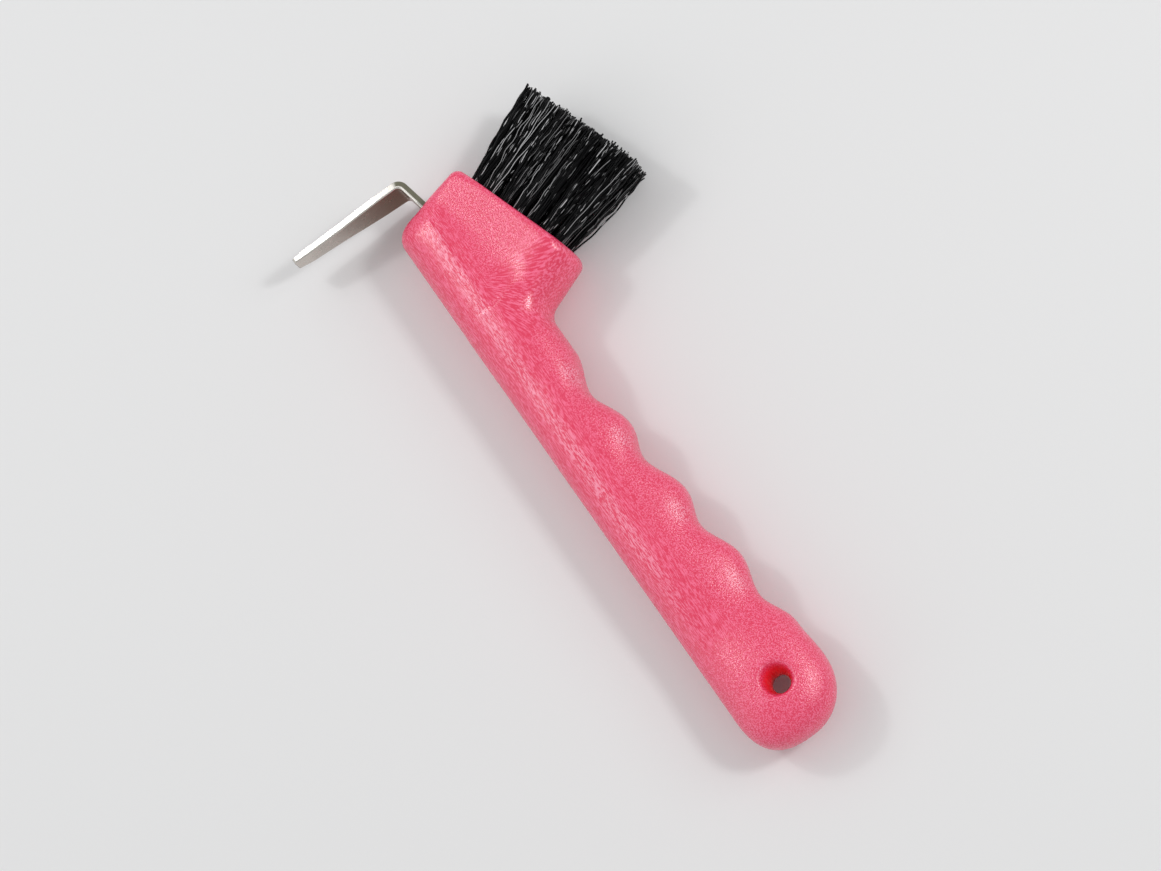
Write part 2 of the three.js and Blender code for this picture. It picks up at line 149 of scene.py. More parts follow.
TUFT_ROWS = ((7, -4.6), (6, 0.0), (7, 4.6))
FIELD_CENTRE = -50.2
TUFT_PITCH = 4.8
TUFT_RADIUS = 1.8
TUFT_TIP_RADIUS = 2.35
TUFT_FREE = 29.2
TUFT_SET = 6.2
FLARE = 0.6 / TUFT_FREE
STRANDS = 46
STRAND_SIDES = 6
STRAND_STEPS = 22
STRAND_RADIUS = (0.2, 0.25)
GLINT_SHARE = 0.36  # strands that show a pale glint
DASH_SHARE = 0.24  # strands whose glint is broken into dashes
GLINT_RANGE = (0.45, 1.0)
CRIMP_RANGE = (0.07, 0.25)
CRIMP_PITCH = (5.5, 10.0)
ROOT_INSET = 0.2  # at the foot, the filaments' centres stay this far inside the tuft's radius
TIP_SPREAD = 0.5  # at the tip, they are spread this far past the tuft's tip radius
TIP_DRIFT = 0.55  # standard deviations, filament to filament: of the tip's place
SWING = 0.5  # of its turn round the tuft, in radians
LENGTH_DRIFT = 0.45  # of its length
BOW_DRIFT = 0.4  # of the bow of its middle
FOOT_SHARE = 0.9  # how much of the hole's depth the filaments reach
SEED = 100
GOLDEN_ANGLE = math.pi * (3 - math.sqrt(5))

# grain colours: painted shade in the hollows, painted sheen on the crowns
PINK_GRAIN_SHADE = (0.81, 0.025, 0.10, 1)
PINK_GRAIN_SHEEN = (1.0, 0.145, 0.285, 1)
# painted highlight colour for the ridge band and crest patches
PINK_PAINTED_HIGHLIGHT = (1.0, 0.37, 0.50, 1)
PINK_EYE_SHADE = (1.0, 0.015, 0.04, 1)  # painted shade: deep red of bounced light inside the hanging eye
STEEL_DARK = (0.62, 0.59, 0.54, 1)
STEEL_LIGHT = (0.80, 0.78, 0.74, 1)
# painted reflection: brown on the strip's inner face by the bend
STEEL_PAINTED_REFLECTION = (0.27, 0.17, 0.115, 1)
STEEL_DARK_EDGE = (0.16, 0.155, 0.115, 1)  # dark, dull top edge of the neck and bend
NYLON_DARK = (0.0015, 0.0015, 0.0015, 1)
NYLON_LIGHT = (0.006, 0.006, 0.007, 1)
NYLON_GLINT = (0.62, 0.62, 0.63, 1)
BRASS_TARNISHED = (0.44, 0.33, 0.15, 1)
BRASS_CLEAN = (0.70, 0.57, 0.31, 1)
CARD_DARK = (0.797, 0.80, 0.803, 1)
CARD_LIGHT = (0.803, 0.806, 0.809, 1)

LIGHT_DISTANCE = 1.2  # metres
SKY = 0.52
FLOOR_HALF = 1.5  # metres
CAMERA_BACK = (0.30, 0.054)  # sideways parts of the unit vector from the tool to the camera
HANDLE_IN_VIEW = (0.5763, 0.8172)  # way the handle points in the picture: right, down
SENSOR = 36.0  # mm
LENS = 117.829457  # mm
LIGHTS = (  # name, direction, size in metres, power in watts
    ("left_box", (-0.56, -0.33, 0.76), 0.6, 2.0),
    ("left_core", (-0.56, -0.33, 0.76), 0.12, 1.55),
    ("right_box", (0.19, 0.74, 0.64), 0.6, 2.0),
    ("right_core", (0.22, 0.63, 0.745), 0.16, 2.7),
    ("low_box", (-0.10, -0.90, 0.42), 0.8, 1.2),
)

HANDLE_LOW, HANDLE_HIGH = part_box("handle")
DATUM = Vector((HANDLE_HIGH.x - TAIL_END * MM, HANDLE_LOW.y - BACK_Y * MM,
                (HANDLE_LOW.z + HANDLE_HIGH.z) / 2))


def place(points):
    """Points in mm about the datum, as frame coordinates in metres."""
    return np.asarray(points, float) * MM + np.array(DATUM)


# ---------------------------------------------------------------- small helpers


def smooth(low, high, value):
    """0 below low, 1 above high, and a smooth step between."""
    t = np.clip((value - low) / (high - low), 0, 1)
    return t * t * (3 - 2 * t)


def through(points, value):
    """A smooth curve through a few (station, value) points."""
    stations, values = zip(*points)
    index = np.clip(np.searchsorted(stations, value) - 1, 0, len(stations) - 2)
    low, high = np.take(stations, index), np.take(stations, index + 1)
    t = smooth(low, high, value)
    return np.take(values, index) * (1 - t) + np.take(values, index + 1) * t


def waves(points, value):
    """A cosine ramp between neighbouring (station, value) points."""
    stations, values = zip(*points)
    index = np.clip(np.searchsorted(stations, value) - 1, 0, len(stations) - 2)
    low, high = np.take(stations, index), np.take(stations, index + 1)
    t = (1 - np.cos(math.pi * np.clip((value - low) / (high - low), 0, 1))) / 2
    return np.take(values, index) * (1 - t) + np.take(values, index + 1) * t


def joined(a, b, radius):
    """Distance to the union of two fields, with a fillet of that radius."""
    u, v = np.maximum(radius - a, 0), np.maximum(radius - b, 0)
    return np.maximum(radius, np.minimum(a, b)) - np.sqrt(u * u + v * v)


def shared(a, b, radius):
    """Distance to the intersection of two fields, with a round of that radius."""
    u, v = np.maximum(radius + a, 0), np.maximum(radius + b, 0)
    return np.minimum(-radius, np.maximum(a, b)) + np.sqrt(u * u + v * v)


def new_object(name, vertices, faces):
    """A smooth-shaded mesh object in the scene."""
    mesh = bpy.data.meshes.new(name)
    mesh.from_pydata([tuple(v) for v in vertices], [], [tuple(f) for f in faces])
    mesh.validate()
    mesh.shade_smooth()
    piece = bpy.data.objects.new(name, mesh)
    bpy.context.scene.collection.objects.link(piece)
    return piece


def write_attribute(piece, name, values):
    """Store one number, or one vector, at every vertex."""
    values = np.ascontiguousarray(values, np.float32)
    kind, key = ("FLOAT_VECTOR", "vector") if values.ndim == 2 else ("FLOAT", "value")
    layer = piece.data.attributes.new(name, kind, "POINT")
    layer.data.foreach_set(key, values.ravel())


# ---------------------------------------------------------------- handle field


def block_axes(x, y):
    """Coordinates along the brush face and out of it."""
    along = x * math.cos(BRUSH_SLOPE) + y * math.sin(BRUSH_SLOPE)
    out = -x * math.sin(BRUSH_SLOPE) + y * math.cos(BRUSH_SLOPE)
    return along, out


def grip_field(x, y, z):
    """The grip: straight back, waved front that falls away from the spine, domed tail."""
    spine = through(SPINE, x)
    front = waves(GRIP_WAVES, x)
    past = np.clip((x - TAIL_X) / TAIL_LENGTH, 0, None)
    ahead = y - spine
    reach = np.where(ahead > 0, front - spine, spine - BACK_Y)
    across = np.abs(ahead) / reach
    plan_power = np.where(ahead > 0, BRUSH_SIDE_POWER, BACK_SIDE_POWER)
    plan = (across ** plan_power + past ** plan_power) ** (1 / plan_power)
    at_tail = smooth(*TAIL_BLEND, x)
    eased = np.sqrt(np.maximum(ahead, 0) ** 2 + FALL_START ** 2) - FALL_START
    fall = GRIP_FALL * (1 - at_tail) * eased
    half = through(GRIP_HALF, x) - fall
    power = TAIL_POWER + (GRIP_SQUARER * smooth(0, 6, ahead) - GRIP_SOFTER) * (1 - at_tail)
    tube = ((plan ** power + (np.abs(z) / half) ** power) ** (1 / power) - 1) * half
    return np.maximum(tube, GRIP_FROM - x)


def block_half(x, y, spine):
    """Half thickness of the block's side: down from the spine to a valley, up again to its rim."""
    along, _ = block_axes(x, y)
    valley = spine + 4 + 5 * smooth(-74, -46, x) - 2 * smooth(-46, -34, x)
    down = DISH_DEPTH * smooth(-0.5, 1.3, (y - spine) / (valley - spine))
    to_face = DISH_RISE * smooth(0, 18, y - valley)
    to_end = DISH_END_RISE * smooth(-58, -32, along) * smooth(-3, 6, y - valley)
    return BLOCK_HALF - down + np.minimum(to_face + to_end, down)


def block_field(x, y, z):
    """The brush block: rounded back, dished sides, flat brush face, bowed tail end."""
    along, out = block_axes(x, y)
    spine = through(SPINE, x)
    behind = np.clip((spine - y) / (spine - BACK_Y), 0, None)
    rounded = behind ** BLOCK_POWER + (np.abs(z) / BLOCK_HALF) ** BLOCK_POWER
    back = (rounded ** (1 / BLOCK_POWER) - 1) * BLOCK_HALF
    core = np.where(y < spine, back, np.abs(z) - block_half(x, y, spine))

    face = out - FACE_HEIGHT
    end_at = END_AT + (END_HEIGHT - out) * math.tan(END_DRAFT) - END_BOW
    end = np.hypot(np.maximum(along - end_at, 0), z) - END_BOW
    end = np.where(along > end_at, end, np.abs(z) - END_BOW)
    nose = -((x - NOSE_X) * math.cos(NOSE_SLOPE) + (y - BACK_Y) * math.sin(NOSE_SLOPE))

    plan = shared(face, end, FACE_CORNER)
    plan = shared(plan, nose, NOSE_CORNER[0] + NOSE_CORNER[1] * smooth(12, -2, y))
    below_face = smooth(FACE_HEIGHT - 1, FACE_HEIGHT - 6, out)
    edge = SIDE_ROUND + NOSE_ROUND * (1 - smooth(*NOSE_EDGE, along))
    edge = edge + END_ROUND * smooth(*END_EDGE, along) * below_face
    return shared(core, plan, edge)


def eye_field(x, y, z):
    """The hanging eye: a hole that widens towards both rims."""
    radius = np.hypot(x - EYE["x"], y - EYE["y"])
    wall = EYE["throat"] + (EYE["rim"] - EYE["throat"]) * (np.abs(z) / EYE_RIM_Z) ** EYE_FLARE
    return radius - wall


def tuft_places():
    """Foot on the brush face, lean, and the two directions across it, of each tuft."""
    along = np.array([math.cos(BRUSH_SLOPE), math.sin(BRUSH_SLOPE), 0])
    normal = np.array([-math.sin(BRUSH_SLOPE), math.cos(BRUSH_SLOPE), 0])
    up = np.array([0, 0, 1.0])
    places = []
    for count, z in TUFT_ROWS:
        for i in range(count):
            offset = i - (count - 1) / 2
            foot = along * (FIELD_CENTRE + offset * TUFT_PITCH) + normal * FACE_HEIGHT + up * z
            lean = normal + along * offset * FLARE + up * z / TUFT_PITCH * FLARE
            lean /= np.linalg.norm(lean)
            side = np.cross(lean, up)
            side /= np.linalg.norm(side)
            places.append((foot, lean, side, np.cross(side, lean)))
    return places


def holes_field(x, y, z):
    """The blind tuft holes."""
    field = np.full(np.shape(x), 1e3)
    for foot, lean, _, _ in tuft_places():
        dx, dy, dz = x - foot[0], y - foot[1], z - foot[2]
        along = dx * lean[0] + dy * lean[1] + dz * lean[2]
        across = np.sqrt(np.maximum(dx * dx + dy * dy + dz * dz - along * along, 0))
        hole = np.maximum(across - TUFT_RADIUS - HOLE_GAP, -along - TUFT_SET - HOLE_BELOW)
        field = np.minimum(field, hole)
    return field


def pocket_field(x, y, z):
    """The slot that holds the tang, tight on the steel."""
    dx, dy = x - PICK_EXIT[0], y - PICK_EXIT[1]
    depth = dx * math.cos(PICK_SLOPE) + dy * math.sin(PICK_SLOPE)
    across = -dx * math.sin(PICK_SLOPE) + dy * math.cos(PICK_SLOPE)
    width = NECK_WIDTH + (TANG_WIDTH - NECK_WIDTH) * smooth(*SHOULDER, depth)
    slot = np.maximum(np.abs(across) - PICK_THICK / 2, np.abs(z) - width / 2) - POCKET_GAP
    return np.maximum(slot, depth - TANG_LENGTH - POCKET_END_GAP)


def handle_field(x, y, z):
    """Negative inside the handle, in mm."""
    fillet = NOTCH_FILLET[0] + NOTCH_FILLET[1] * smooth(0, 7, y)
    body = joined(grip_field(x, y, z), block_field(x, y, z), fillet)
    body = shared(body, -eye_field(x, y, z), EYE_LIP)
    body = shared(body, -holes_field(x, y, z), HOLE_LIP)
    return shared(body, -pocket_field(x, y, z), POCKET_LIP)


def pairs(axis):
    """Slices that pair every grid point with the next one along an axis."""
    first, second = [slice(None)] * 3, [slice(None)] * 3
    first[axis], second[axis] = slice(0, -1), slice(1, None)
    return tuple(first), tuple(second)


def sampled(field, low, high, step):
    """The field's values on a grid that reaches a step past the box on every side."""
    axes = [np.arange(a - step, b + 1.5 * step, step) for a, b in zip(low, high)]
    values = np.empty(tuple(len(a) for a in axes), np.float32)
    y, z = np.meshgrid(axes[1], axes[2], indexing="ij")
    for i, x in enumerate(axes[0]):
        values[i] = field(np.full(y.shape, x), y, z)
    return values


def crossings(values, inside):
    """For every cell, the sum of the points where its edges meet the surface, and their number."""
    shape = values.shape
    total = np.zeros([n - 1 for n in shape] + [3], np.float32)
    count = np.zeros([n - 1 for n in shape], np.int32)
    for axis in range(3):
        first, second = pairs(axis)
        a, b = values[first], values[second]
        crossing = inside[first] != inside[second]
        share = np.where(crossing, a / np.where(crossing, a - b, 1), 0)
        others = [k for k in range(3) if k != axis]
        for da, db in ((0, 0), (0, 1), (1, 0), (1, 1)):
            edge = [slice(None)] * 3
            edge[others[0]] = slice(da, shape[others[0]] - 1 + da)
            edge[others[1]] = slice(db, shape[others[1]] - 1 + db)
            hit = crossing[tuple(edge)]
            part = np.zeros(hit.shape + (3,), np.float32)
            part[..., axis] = share[tuple(edge)]
            part[..., others[0]] = da
            part[..., others[1]] = db
            total += np.where(hit[..., None], part, 0)
            count += hit
    return total, count


def net_quads(inside, number):
    """Quads through the four cells round every crossed grid edge, facing outwards."""
    quads = []
    for axis in range(3):
        first, second = pairs(axis)
        before, after = inside[first], inside[second]
        b, c = (axis + 1) % 3, (axis + 2) % 3
        spots = np.argwhere(before != after)
        spots = spots[(spots[:, b] > 0) & (spots[:, c] > 0)]
        outward = before[tuple(spots.T)]
        eb, ec = np.zeros(3, int), np.zeros(3, int)
        eb[b], ec[c] = 1, 1
        ring = np.stack([number[tuple((spots - s).T)] for s in (eb + ec, ec, 0 * eb, eb)], 1)
        ring[~outward] = ring[~outward][:, ::-1]
        quads.append(ring)
    return np.concatenate(quads)


def settled(field, vertices, step):
    """The vertices moved on to the surface, along the field's slope."""
    for _ in range(SETTLE_PASSES):
        slope = np.empty_like(vertices)
        for k in range(3):
            shift = np.zeros(3)
            shift[k] = SLOPE_PROBE
            rise = field(*(vertices + shift).T) - field(*(vertices - shift).T)
            slope[:, k] = rise / (2 * SLOPE_PROBE)
        length = np.maximum((slope ** 2).sum(1), LEAST_SLOPE)
        move = -field(*vertices.T)[:, None] * slope / length[:, None]
        vertices = vertices + np.clip(move, -MOST_MOVE * step, MOST_MOVE * step)
    return vertices


def surface_net(field, low, high, step):
    """Vertices and quads of a field's zero surface: one vertex in every cell that it crosses."""
    values = sampled(field, low, high, step)
    inside = values < 0
    total, count = crossings(values, inside)
    used = count > 0
    number = np.full(used.shape, -1, np.int64)
    number[used] = np.arange(used.sum())
    offset = total[used] / count[used][:, None]
    vertices = np.array(low) - step + (np.argwhere(used) + offset) * step
    return settled(field, vertices, step), net_quads(inside, number)


# ---------------------------------------------------------------- materials


class Nodes:
    """A node material being built."""

    def __init__(self, name):
        self.material = bpy.data.materials.new(name)
        self.material.use_nodes = True
        self.tree = self.material.node_tree
        self.shader = self.tree.nodes["Principled BSDF"]

    def add(self, kind, **settings):
        """A new node, with each setting made on its socket or, without one, on the node."""
        node = self.tree.nodes.new(kind)
        for key, value in settings.items():
            if key in node.inputs:
                node.inputs[key].default_value = value
            else:
                setattr(node, key, value)
        return node

    def link(self, source, target):
        self.tree.links.new(source, target)

    def set(self, **values):
        """Constants on the shader's sockets, with _ for a space in a socket's name."""
        for key, value in values.items():
            self.shader.inputs[key.replace("_", " ")].default_value = value


def mixed(m, low, high, factor):
    """Two colours mixed by a factor socket."""
    node = m.add("ShaderNodeMix", data_type="RGBA")
    node.inputs[6].default_value = low
    node.inputs[7].default_value = high
    m.link(factor, node.inputs[0])
    return node.outputs[2]


def stretched_noise(m, vector, stretch, scale, detail=2.0, roughness=0.5):
    """Noise on coordinates stretched along their axes."""
    squeeze = m.add("ShaderNodeMapping", vector_type="POINT")
    squeeze.inputs["Scale"].default_value = stretch
    m.link(vector, squeeze.inputs["Vector"])
    noise = m.add("ShaderNodeTexNoise")
    noise.inputs["Scale"].default_value = scale
    noise.inputs["Detail"].default_value = detail
    noise.inputs["Roughness"].default_value = roughness
    m.link(squeeze.outputs["Vector"], noise.inputs["Vector"])
    return noise.outputs["Fac"]


def blended(m, a, b, factor):
    """Two values mixed by a factor socket."""
    node = m.add("ShaderNodeMix", data_type="FLOAT")
    m.link(factor, node.inputs[0])
    m.link(a, node.inputs[2])
    m.link(b, node.inputs[3])
    return node.outputs[0]


def ranged(m, value, low, high, to_low, to_high):
    """A value rescaled from one range to another."""
    node = m.add("ShaderNodeMapRange")
    limits = {"From Min": low, "From Max": high, "To Min": to_low, "To Max": to_high}
    for name, limit in limits.items():
        node.inputs[name].default_value = limit
    m.link(value, node.inputs["Value"])
    return node.outputs["Result"]


def tinted(m, colour, tint, factor):
    """A colour socket mixed towards a fixed colour by a factor socket."""
    node = m.add("ShaderNodeMix", data_type="RGBA")
    m.link(factor, node.inputs[0])
    m.link(colour, node.inputs[6])
    node.inputs[7].default_value = tint
    return node.outputs[2]


def product(m, a, b):
    """Two values multiplied."""
    node = m.add("ShaderNodeMath", operation="MULTIPLY")
    m.link(a, node.inputs[0])
    m.link(b, node.inputs[1])
    return node.outputs[0]


def bumped(m, height, distance, strength=1.0):
    """Raise the shader's surface by a height, over a distance in metres."""
    bump = m.add("ShaderNodeBump", Strength=strength, Distance=distance)
    m.link(height, bump.inputs["Height"])
    m.link(bump.outputs["Normal"], m.shader.inputs["Normal"])


def attribute(m, name, socket="Fac"):
    """A value stored at the vertices."""
    return m.add("ShaderNodeAttribute", attribute_name=name).outputs[socket]


def pink_plastic():
    """Satin moulding with a raised grain: pebbled, streaked along the grip, fanned on the block;
    painted sheen and shade on the grain, painted highlight on the ridge and crests, painted shade
    in the eye.
    """
    m = Nodes("pink_moulded_plastic")
    flow, fan = attribute(m, "flow", "Vector"), attribute(m, "fan", "Vector")
    pebbles = stretched_noise(m, flow, (1, 1, 1), 2.9, 1.0, 0.5)
    along = stretched_noise(m, flow, (0.13, 1, 1), 4.0, 1.0, 0.5)
    radial = stretched_noise(m, fan, (0.12, 1, 1), 2.8, 1.0, 0.5)
    grain = blended(m, pebbles, along, attribute(m, "streak"))
    grain = blended(m, grain, radial, attribute(m, "fanned"))
    bumped(m, grain, 0.00013)
    # painted sheen on the grain's crowns, painted shade in its hollows
    grain_sheen = ranged(m, grain, 0.45, 0.59, 0.0, 1.0)
    colour = mixed(m, PINK_GRAIN_SHADE, PINK_GRAIN_SHEEN, grain_sheen)
    # painted highlight along the ridge and on the crests, broken up by the grain
    highlight_share = product(m, ranged(m, grain, 0.47, 0.58, 0.0, 0.9), attribute(m, "painted_highlight"))
    colour = tinted(m, colour, PINK_PAINTED_HIGHLIGHT, highlight_share)
    # painted shade inside the hanging eye
    colour = tinted(m, colour, PINK_EYE_SHADE, attribute(m, "eye_shade"))
    m.link(colour, m.shader.inputs["Base Color"])
    patches = stretched_noise(m, flow, (1, 1, 1), 0.12, 3.0)
    m.link(ranged(m, patches, 0.0, 1.0, 0.2, 0.32), m.shader.inputs["Roughness"])
    m.set(Specular_IOR_Level=1.0)
    return m.material


def steel():
    """Bright strip, finely scratched, with dull dark top edges on the neck and bend and a painted
    brown reflection inside the bend.
    """
    m = Nodes("bright_steel")
    spot = m.add("ShaderNodeTexCoord").outputs["Object"]
    scratches = stretched_noise(m, spot, (300, 300, 9000), 1.0, 3.0, 0.6)
    mottle = stretched_noise(m, spot, (1, 1, 1), 350, 3.0, 0.6)
    dark_edge, painted_reflection = attribute(m, "dark_edge"), attribute(m, "painted_reflection")
    rough = ranged(m, mottle, 0.3, 0.7, 0.14, 0.32)
    dull = ranged(m, mottle, 0.3, 0.7, 0.45, 0.6)
    m.link(blended(m, rough, dull, dark_edge), m.shader.inputs["Roughness"])
    colour = mixed(m, STEEL_DARK, STEEL_LIGHT, scratches)
    # painted reflection, brown, on the inner face
    colour = tinted(m, colour, STEEL_PAINTED_REFLECTION, painted_reflection)
    # darker, duller top edge of the neck and bend
    colour = tinted(m, colour, STEEL_DARK_EDGE, dark_edge)
    m.link(colour, m.shader.inputs["Base Color"])
    bumped(m, scratches, 0.00003, 0.4)
    m.set(Metallic=1.0)
    return m.material


def nylon():
    """Black crimped nylon: a pale glint runs along some strands, whole or in dashes."""
    m = Nodes("black_nylon")
    strand = attribute(m, "strand", "Vector")
    glint, dashed = attribute(m, "glint"), attribute(m, "dashed")
    dashes = ranged(m, stretched_noise(m, strand, (0.5, 1, 1), 0.8, 0.0), 0.52, 0.58, 0.0, 1.0)
    grain = stretched_noise(m, strand, (1, 1, 1), 2.5, 3.0, 0.6)
    whole = ranged(m, grain, 0.2, 0.6, 0.7, 1.0)
    line = ranged(m, glint, 0.25, 0.75, 0.0, 1.0)
    shown = product(m, line, blended(m, whole, dashes, dashed))
    colour = mixed(m, NYLON_DARK, NYLON_LIGHT, grain)
    colour = tinted(m, colour, NYLON_GLINT, shown)
    m.link(colour, m.shader.inputs["Base Color"])
    m.link(ranged(m, grain, 0.3, 0.7, 0.25, 0.42), m.shader.inputs["Roughness"])
    bumped(m, grain, 0.00002, 0.6)
    m.set(Specular_IOR_Level=0.12)
    return m.material


def anchor_wire():
    """Drawn brass wire with fine lengthwise lines and a little tarnish."""
    m = Nodes("anchor_wire")
    spot = m.add("ShaderNodeTexCoord").outputs["Object"]
    lines = stretched_noise(m, spot, (600, 600, 12000), 1.0, 3.0, 0.6)
    tarnish = stretched_noise(m, spot, (1, 1, 1), 700, 3.0, 0.6)
    colour = mixed(m, BRASS_TARNISHED, BRASS_CLEAN, tarnish)
    m.link(colour, m.shader.inputs["Base Color"])
    m.link(ranged(m, tarnish, 0.3, 0.7, 0.28, 0.5), m.shader.inputs["Roughness"])
    bumped(m, lines, 0.00002, 0.5)
    m.set(Metallic=1.0)
    return m.material


def floor_card():
    """Matt white card with a faint tooth."""
    m = Nodes("pale_floor")
    spot = m.add("ShaderNodeTexCoord").outputs["Object"]
    tooth = stretched_noise(m, spot, (1, 1, 1), 900, 2.0)
    colour = mixed(m, CARD_DARK, CARD_LIGHT, tooth)
    m.link(colour, m.shader.inputs["Base Color"])
    m.link(ranged(m, tooth, 0.0, 1.0, 0.85, 0.95), m.shader.inputs["Roughness"])
    bumped(m, tooth, 0.00002, 0.3)
    return m.material


# ---------------------------------------------------------------- pieces


def write_grain(piece, vertices):
    """Store, at every vertex, which way the moulded grain runs, and where highlight and shade are
    painted.
    """
    x, y, z = vertices.T
    radius = np.hypot(x - FAN_CENTRE[0], y - FAN_CENTRE[1])
    angle = np.arctan2(y - FAN_CENTRE[1], x - FAN_CENTRE[0])
    fan = np.stack([radius, angle * FAN_SPREAD, z], 1)
    flow = np.stack([x, y, z], 1)
    spine = through(SPINE, x)
    streak = STREAK_SHARE * smooth(7, 1, y - spine) * smooth(84, 62, x)
    fanned = FAN_SHARE * smooth(-52, -45, x) * smooth(-24, -30, x) * smooth(1, 4, y)
    ridge = smooth(3.2, 0.4, np.abs(y - through(RIDGE, x))) * smooth(70, 30, x)
    # painted highlight: a band along the ridge and patches on the crests, upper side only
    painted_highlight = RIDGE_HIGHLIGHT * ridge * smooth(-72, -64, x) * smooth(4, 7, z)
    for spot in HIGHLIGHT_SPOTS:
        reach = np.hypot((x - spot[0]) / SPOT_REACH[0], (y - spot[1]) / SPOT_REACH[1])
        painted_highlight = np.maximum(painted_highlight, SPOT_HIGHLIGHT * smooth(1.2, 0.3, reach) * smooth(2, 4, z))
    # painted shade: deep red bounce light on the wall of the hanging eye
    eye_shade = smooth(EYE["rim"] + 0.3, EYE["rim"] - 1.0, np.hypot(x - EYE["x"], y - EYE["y"]))
    for name, values in (("flow", flow), ("fan", fan), ("streak", streak), ("fanned", fanned),
                         ("painted_highlight", painted_highlight), ("eye_shade", eye_shade)):
        write_attribute(piece, name, values)


def make_handle():
    """The whole moulding, as one surface."""
    vertices, quads = surface_net(handle_field, GRID_LOW, GRID_HIGH, GRID_STEP)
    piece = new_object("moulded_handle", place(vertices), quads)
    write_grain(piece, vertices)
    piece.data.materials.append(pink_plastic())
    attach(piece, "root")
    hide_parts("handle")


def sweep(sections):
    """Closed tube through rings of points, capped at both ends."""
    count = len(sections[0])
    vertices = [p for ring in sections for p in ring]
    faces = []
    for i in range(len(sections) - 1):
        for j in range(count):
            a, b = i * count + j, i * count + (j + 1) % count
            faces.append((a, b, b + count, a + count))
    faces.append(tuple(range(count))[::-1])
    faces.append(tuple(range(len(vertices) - count, len(vertices))))
    return vertices, faces


def rounded_outline(corners, radius, steps=3):
    """Closed outline through corners, each one rounded, with a holding point on either side."""
    corners = np.asarray(corners, float)
    points = []
    for before, corner, after in zip(np.roll(corners, 1, 0), corners, np.roll(corners, -1, 0)):
        back, on = before - corner, after - corner
        back_length, on_length = np.linalg.norm(back), np.linalg.norm(on)
        r = min(radius, 0.3 * back_length, 0.3 * on_length)
        a, b = corner + back / back_length * r, corner + on / on_length * r
        points.append(a + back / back_length * r * 0.4)
        for k in range(steps + 1):
            t = k / steps
            points.append(a * (1 - t) ** 2 + corner * 2 * t * (1 - t) + b * t ** 2)
        points.append(b + on / on_length * r * 0.4)
    return points


def strip_section(width, thick):
    """Section of the strip as (across, z) points: square edges, corners broken, inner ones more."""
    t, w = thick / 2, width / 2
    corners = ((-t, -w), (EDGE_LINE * t, -w), (t - INNER_BREAK, -w), (t, -w + INNER_BREAK),
               (t, w - INNER_BREAK), (t - INNER_BREAK, w), (EDGE_LINE * t, w), (-t, w))
    return rounded_outline(corners, EDGE_ROUND)


def pick_stations():
    """Centre, inward direction, width, thickness, dark-edge share and leg share of each section."""
    into = np.array([math.cos(PICK_SLOPE), math.sin(PICK_SLOPE)])
    exit_at, tip = np.array(PICK_EXIT), np.array(PICK_TIP)
    corner = exit_at - into * NECK_LENGTH
    leg = (tip - corner) / np.linalg.norm(tip - corner)
    leg_normal = np.array([-leg[1], leg[0]])
    neck_normal = np.array([into[1], -into[0]])
    turn = math.acos(float(neck_normal @ leg_normal))
    setback = BEND_RADIUS * math.tan(turn / 2)
    bend_from, bend_to = corner + into * setback, corner + leg * setback
    centre = bend_from + neck_normal * BEND_RADIUS
    stations = []
    for depth in TANG_STATIONS:
        width = NECK_WIDTH + (TANG_WIDTH - NECK_WIDTH) * float(smooth(*SHOULDER, depth))
        stations.append((exit_at + into * depth, neck_normal, width, PICK_THICK, 1.0, 0.0))
    for i in range(BEND_STEPS + 1):
        angle = turn * i / BEND_STEPS
        c, s = math.cos(angle), math.sin(angle)
        inward = np.array([neck_normal[0] * c - neck_normal[1] * s,
                           neck_normal[0] * s + neck_normal[1] * c])
        # the dark, dull top edge runs along the neck and fades out at the end of the bend
        dark_edge = 1.0 - float(smooth(0.7, 1.0, i / BEND_STEPS))
        stations.append((centre - inward * BEND_RADIUS, inward, NECK_WIDTH, PICK_THICK, dark_edge, 0.0))
    for i in range(1, LEG_STEPS + 1):
        t = i / LEG_STEPS
        width = float(np.interp(t, *zip(*LEG_WIDTHS)))
        width -= TIP_BREAK * float(smooth(0.985, 1.0, t))
        thick = PICK_THICK + (TIP_THICK - PICK_THICK) * float(smooth(0.86, 1.0, t))
        stations.append((bend_to + (tip - bend_to) * t, leg_normal, width, thick, 0.0, t))
    return stations


def surface_marks(section, width, thick, dark_edge, t):
    """Share of dull dark edge and of painted reflection at each point of a section."""
    marks = []
    for a, z in section:
        on_edge = abs(z) > width / 2 - EDGE_REACH and a < (EDGE_LINE + 0.02) * thick / 2
        on_inside = a > thick / 2 - EDGE_REACH
        # painted reflection, strongest by the bend, less towards the tip
        painted_reflection = 1 - (1 - REFLECTION_LEFT) * float(smooth(0.0, 0.8, t))
        marks.append((dark_edge * on_edge, on_inside * painted_reflection))
    return marks


def make_pick():
    """The steel strip, from the end of its tang to its tip."""
    rings, marks = [], []
    for centre, inward, width, thick, dark_edge, t in pick_stations():
        section = strip_section(width, thick)
        x, y = centre
        rings.append([(x + inward[0] * a, y + inward[1] * a, z) for a, z in section])
        marks.extend(surface_marks(section, width, thick, dark_edge, t))
    vertices, faces = sweep(rings)
    piece = new_object("bent_steel_pick", place(vertices), faces)
    for name, values in zip(("dark_edge", "painted_reflection"), zip(*marks)):
        write_attribute(piece, name, values)
    piece.data.materials.append(steel())
    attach(piece, "root")
    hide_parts("pick")


